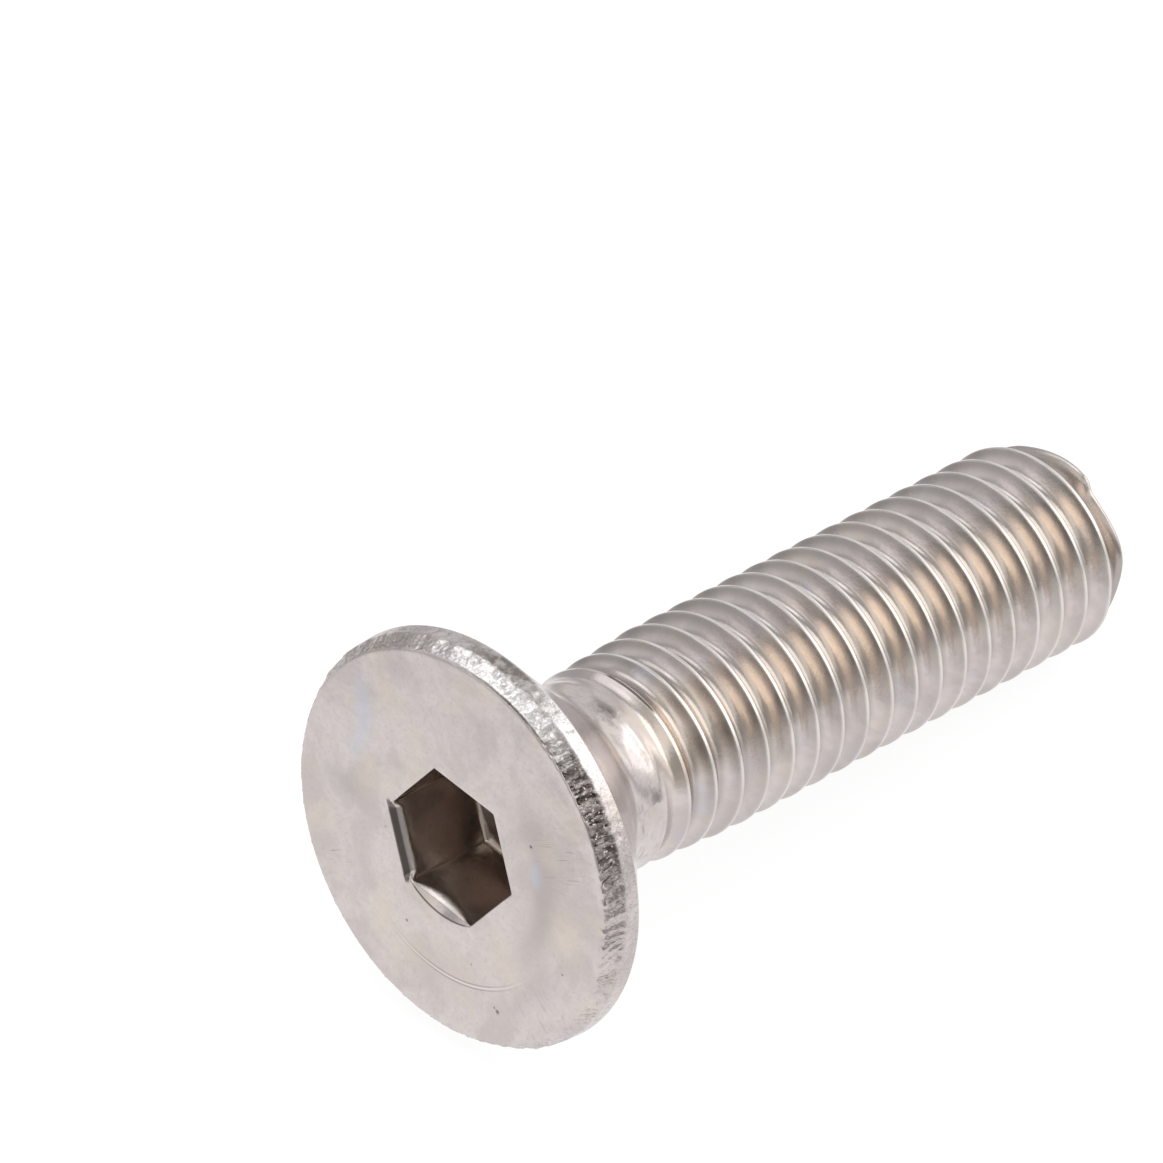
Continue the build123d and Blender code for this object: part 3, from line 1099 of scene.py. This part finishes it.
# Name, azimuth, elevation, width and height in degrees, radiance over the studio grey
SOFTBOXES = (
    ("softbox_right", 128, 43, 42, 54, 1.20),
    ("softbox_right_rear", 172, 30, 39, 50, 0.55),
    ("softbox_low_right", 135, 7, 85, 16, 0.45),
    ("softbox_left", -19, 41, 30, 27, 0.50),
    ("softbox_over_camera", 52, 41, 75, 27, 0.45),
    ("softbox_top_left", -90, 63, 35, 45, 0.75),
    ("softbox_top", -52, 75, 26, 20, 0.70),
    ("softbox_rear_left", -142, 22, 42, 36, 0.28),
    ("softbox_front_left", -45, 16, 55, 24, 0.26),
)

# Name, azimuth, elevation, width and height in degrees, level
DARK_CARDS = (
    ("card_front", 42, 11, 100, 34, 0.36),
    ("card_front_dark", 7, 16, 44, 24, 0.25),
)


def plane(name, wide, high, material):
    """A flat staged rectangle, facing its own -Z, that isn't part of the screw."""
    mesh = bpy.data.meshes.new(name)
    x, y = wide / 2, high / 2
    mesh.from_pydata([(-x, -y, 0), (-x, y, 0), (x, y, 0), (x, -y, 0)], [], [(0, 1, 2, 3)])
    mesh.materials.append(material)
    card = bpy.data.objects.new(name, mesh)
    bpy.context.scene.collection.objects.link(card)
    return card


def span(distance, angle):
    """Width of something at a distance that fills an angle: 2 distance tan(angle / 2)."""
    return 2 * distance * tan(radians(angle / 2))


def staged_material(name):
    """A material without a shader, its node tree, and the input that a shader goes into."""
    material = bpy.data.materials.new(name)
    material.use_nodes = True
    tree = material.node_tree
    tree.nodes.remove(tree.nodes["Principled BSDF"])
    return material, tree, tree.nodes["Material Output"].inputs["Surface"]


def white_table():
    """White table: plain white to the camera, with a faint shadow, and white near the screw in the metal."""
    material, tree, surface = staged_material("white_table")
    path = add(tree, "LightPath").node.outputs
    distance = add(tree, "VectorMath", add(tree, "TexCoord").node.outputs["Object"], operation="LENGTH")
    pool = mask(tree, (distance, POOL_FULL, POOL_END, 1.0, POOL_OUTSIDE))
    paint = add(tree, "BsdfDiffuse", Color=SHADOW_PAINT)
    glow = add(tree, "Emission", Strength=SHADOW_GLOW)
    shown = add(tree, "AddShader", paint, glow)
    mirrored = add(tree, "Emission", Strength=pool)
    lit = add(tree, "BsdfDiffuse", Color=LIT_PAINT)
    bright = add(tree, "Math", path["Is Glossy Ray"], path["Is Transmission Ray"], operation="MAXIMUM")
    seen = add(tree, "MixShader", bright, lit, mirrored)
    seen = add(tree, "MixShader", path["Is Camera Ray"], seen, shown)
    tree.links.new(seen, surface)
    return material


def make_world():
    """White to the camera, and an even studio grey as light and in the metal."""
    world = bpy.data.worlds.new("world")
    bpy.context.scene.world = world
    world.use_nodes = True
    tree = world.node_tree
    path = add(tree, "LightPath").node.outputs
    background = tree.nodes["Background"].inputs
    level = add(tree, "Math", path["Is Camera Ray"], STUDIO_GREY, operation="MAXIMUM")
    tree.links.new(level, background["Strength"])
    background["Color"].default_value = (1, 1, 1, 1)


def make_lights():
    """Softboxes round the screw, and dark cards that stand in front of it as the camera's side does."""
    for name, azimuth, elevation, wide, high, radiance in SOFTBOXES:
        data = bpy.data.lights.new(name, "AREA")
        data.shape = "RECTANGLE"
        data.size = span(LAMP_DISTANCE, wide)
        data.size_y = span(LAMP_DISTANCE, high)
        data.energy = radiance * pi * data.size * data.size_y  # power of a flat lamp of that radiance
        lamp = bpy.data.objects.new(name, data)
        bpy.context.scene.collection.objects.link(lamp)
        aim(lamp, LAMP_DISTANCE * toward(azimuth, elevation), LOOK_AT)
    for step, (name, azimuth, elevation, wide, high, level) in enumerate(DARK_CARDS):
        material, tree, surface = staged_material(name)
        tree.links.new(add(tree, "Emission", Strength=level), surface)
        distance = CARD_DISTANCE - CARD_SPACING * step
        card = plane(name, span(distance, wide), span(distance, high), material)
        card.visible_camera = False
        card.visible_shadow = False
        card.visible_diffuse = False
        aim(card, distance * toward(azimuth, elevation), LOOK_AT)


# ---------------- scene

make_camera()
plane("floor", FLOOR_SIZE, FLOOR_SIZE, white_table())
make_world()
make_lights()
bpy.context.scene.view_settings.view_transform = "Standard"

screw = bpy.data.objects.new("screw_stainless", screw_mesh())
bpy.context.scene.collection.objects.link(screw)
screw.data.materials.append(stainless_tumbled())
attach(screw, "root")
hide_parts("screw")
